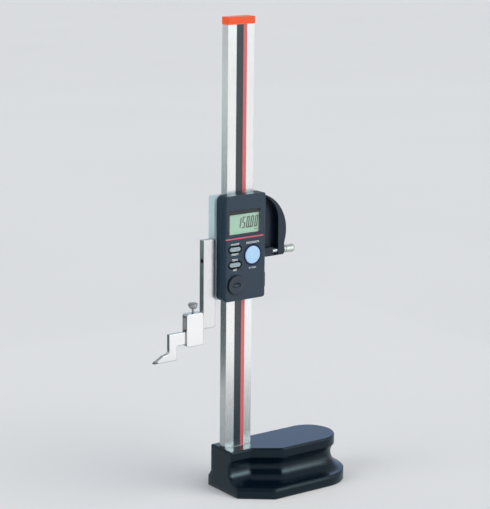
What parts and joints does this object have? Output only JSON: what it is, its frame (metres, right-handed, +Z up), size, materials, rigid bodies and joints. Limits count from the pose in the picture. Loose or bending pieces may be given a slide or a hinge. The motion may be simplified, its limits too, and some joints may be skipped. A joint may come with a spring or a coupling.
{
  "type": "digital height gauge",
  "caption": "Digital height gauge: cast base, steel column with sliding display head, finger grip, clamp screw, jaw and a clamped scriber",
  "frame": {"origin": "on the resting face under the base, on the column's axis", "axes": "+Z up along the column, -Y out of the display face, +X from the column to the base's round tail"},
  "size_m": [0.2229, 0.0764, 0.49],
  "materials": {
    "base_black": "gloss",
    "column_steel": "ground satin",
    "bolt_steel": "black oxide",
    "board_green": "solder mask",
    "film_print": "printed film",
    "cap_orange": "gloss",
    "slider_metal": "satin",
    "gib_brass": "ground",
    "housing_black": "semi gloss",
    "trim_red": "gloss",
    "window_clear": "clear",
    "bezel_black": "matte",
    "lcd_glass": "reflective panel",
    "rubber_grey": "moulded",
    "parts_black": "moulded",
    "key_grey": "satin",
    "key_blue": "satin",
    "ring_navy": "semi gloss",
    "cell_steel": "nickel plate",
    "contact_metal": "plated",
    "cover_black": "satin",
    "grip_black": "satin",
    "polished_steel": "polished",
    "carbide_grey": "ground",
    "screw_steel": "knurled",
    "knob_satin": "satin nickel"
  },
  "bodies": {
    "stand": {"base": "base_black", "column": "column_steel", "column_bolts": "bolt_steel", "scale_board": "board_green", "scale_film": "film_print", "column_cap": "cap_orange"},
    "slider": {"slider_frame": "slider_metal", "gib": "gib_brass", "gib_screws": "bolt_steel", "housing": "housing_black", "housing_screws": "bolt_steel", "trim_line": "trim_red", "window": "window_clear", "bezel": "bezel_black", "lcd_panel": "lcd_glass", "contact_strips": "rubber_grey", "circuit_board": "board_green", "board_parts": "parts_black", "encoder_pickup": "board_green", "key_ring": "ring_navy", "key_pads": "rubber_grey", "coin_cell": "cell_steel", "cell_contacts": "contact_metal", "data_socket": "parts_black", "grip": "grip_black", "grip_screws": "bolt_steel", "clamp_bushing": "screw_steel", "jaw": "polished_steel", "jaw_screw": "bolt_steel", "jaw_dowel": "polished_steel"},
    "key_upper": {"key_upper": "key_grey"},
    "key_lower": {"key_lower": "key_grey"},
    "key_big": {"key_big": "key_blue"},
    "clamp_feed": {"clamp_shoe": "gib_brass"},
    "clamp_turn": {"clamp_screw": "screw_steel", "clamp_knob": "knob_satin"},
    "scriber_clamp": {"scriber_clamp": "polished_steel"},
    "thumb_feed": {"thumb_pad": "gib_brass"},
    "thumb_turn": {"thumb_screw": "screw_steel"},
    "scriber": {"scriber": "polished_steel", "scriber_tip": "carbide_grey"},
    "battery_cover": {"battery_cover": "cover_black"},
    "port_cover": {"port_cover": "cover_black"}
  },
  "joints": [
    {"name": "slider_travel", "type": "slide", "parent": "stand", "child": "slider", "axis": [0, 0, 1], "range_m": [-0.15, 0.15]},
    {"name": "key_upper_press", "type": "slide", "parent": "slider", "child": "key_upper", "axis": [0, 1, 0], "range_m": [0, 0.0008], "stiffness_N_per_m": 1500},
    {"name": "key_lower_press", "type": "slide", "parent": "slider", "child": "key_lower", "axis": [0, 1, 0], "range_m": [0, 0.0008], "stiffness_N_per_m": 1500},
    {"name": "key_big_press", "type": "slide", "parent": "slider", "child": "key_big", "axis": [0, 1, 0], "range_m": [0, 0.0008], "stiffness_N_per_m": 1500},
    {"name": "clamp_feed", "type": "slide", "parent": "slider", "child": "clamp_feed", "axis": [-1, 0, 0], "range_m": [0, 0.0002499]},
    {"name": "clamp_turn", "type": "hinge", "parent": "clamp_feed", "child": "clamp_turn", "pos_m": [0.045, 0.001, 0.2465], "axis": [-1, 0, 0], "range_deg": [0, 180]},
    {"name": "scriber_clamp_slide", "type": "slide", "parent": "slider", "child": "scriber_clamp", "axis": [1, 0, 0], "range_m": [-0.005, 0.0012]},
    {"name": "thumb_feed", "type": "slide", "parent": "scriber_clamp", "child": "thumb_feed", "axis": [0, 0, 1], "range_m": [0, 0.0004999]},
    {"name": "thumb_turn", "type": "hinge", "parent": "thumb_feed", "child": "thumb_turn", "pos_m": [-0.0546, -0.0015, 0.2], "axis": [0, 0, 1], "range_deg": [0, 360]},
    {"name": "scriber_slide", "type": "slide", "parent": "slider", "child": "scriber", "axis": [1, 0, 0], "range_m": [-0.008, 0.006]},
    {"name": "battery_cover_turn", "type": "hinge", "parent": "slider", "child": "battery_cover", "pos_m": [-0.0116, -0.014, 0.2214], "axis": [0, -1, 0], "range_deg": [0, 60]},
    {"name": "port_cover_slide", "type": "slide", "parent": "slider", "child": "port_cover", "axis": [0, 0, -1], "range_m": [0, 0.012]}
  ],
  "couplings": [
    {"joint": "clamp_turn", "follows": "clamp_feed", "rad_per_m": 12566},
    {"joint": "thumb_turn", "follows": "thumb_feed", "rad_per_m": 12566}
  ]
}
